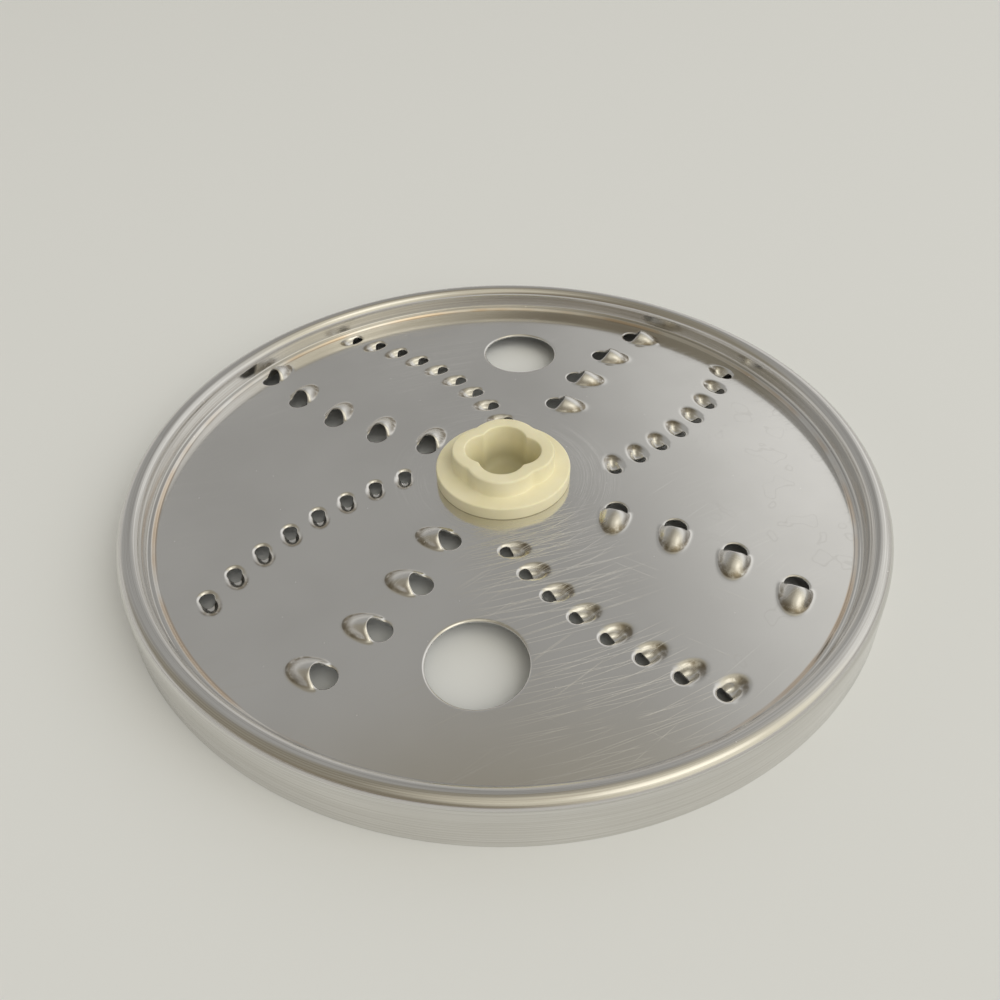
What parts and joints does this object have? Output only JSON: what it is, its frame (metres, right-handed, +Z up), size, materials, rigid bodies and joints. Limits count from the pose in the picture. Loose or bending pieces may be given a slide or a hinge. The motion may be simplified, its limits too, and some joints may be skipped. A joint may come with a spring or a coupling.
{
  "type": "food processor grating disc",
  "caption": "Round steel grating disc with a rolled rim, staggered rows of raised coarse and sunken fine teeth, finger holes, and a cream plastic hub with a lobed drive socket.",
  "frame": {"origin": "on the drive axis, at the level of the skirt's hem, where the disc stands", "axes": "+Z up along the drive axis, out of the socket's mouth and away from the hem; +Y from the drive axis towards one finger hole; +X completes a right-handed frame"},
  "size_m": [0.175, 0.175, 0.0124],
  "materials": {
    "disc_steel": "satin stainless sheet with fine scratches from use",
    "hub_plastic": "matte cream moulding, slightly yellowed"
  },
  "bodies": {
    "root": {"grating_disc": "disc_steel", "drive_hub": "hub_plastic"}
  },
  "joints": []
}
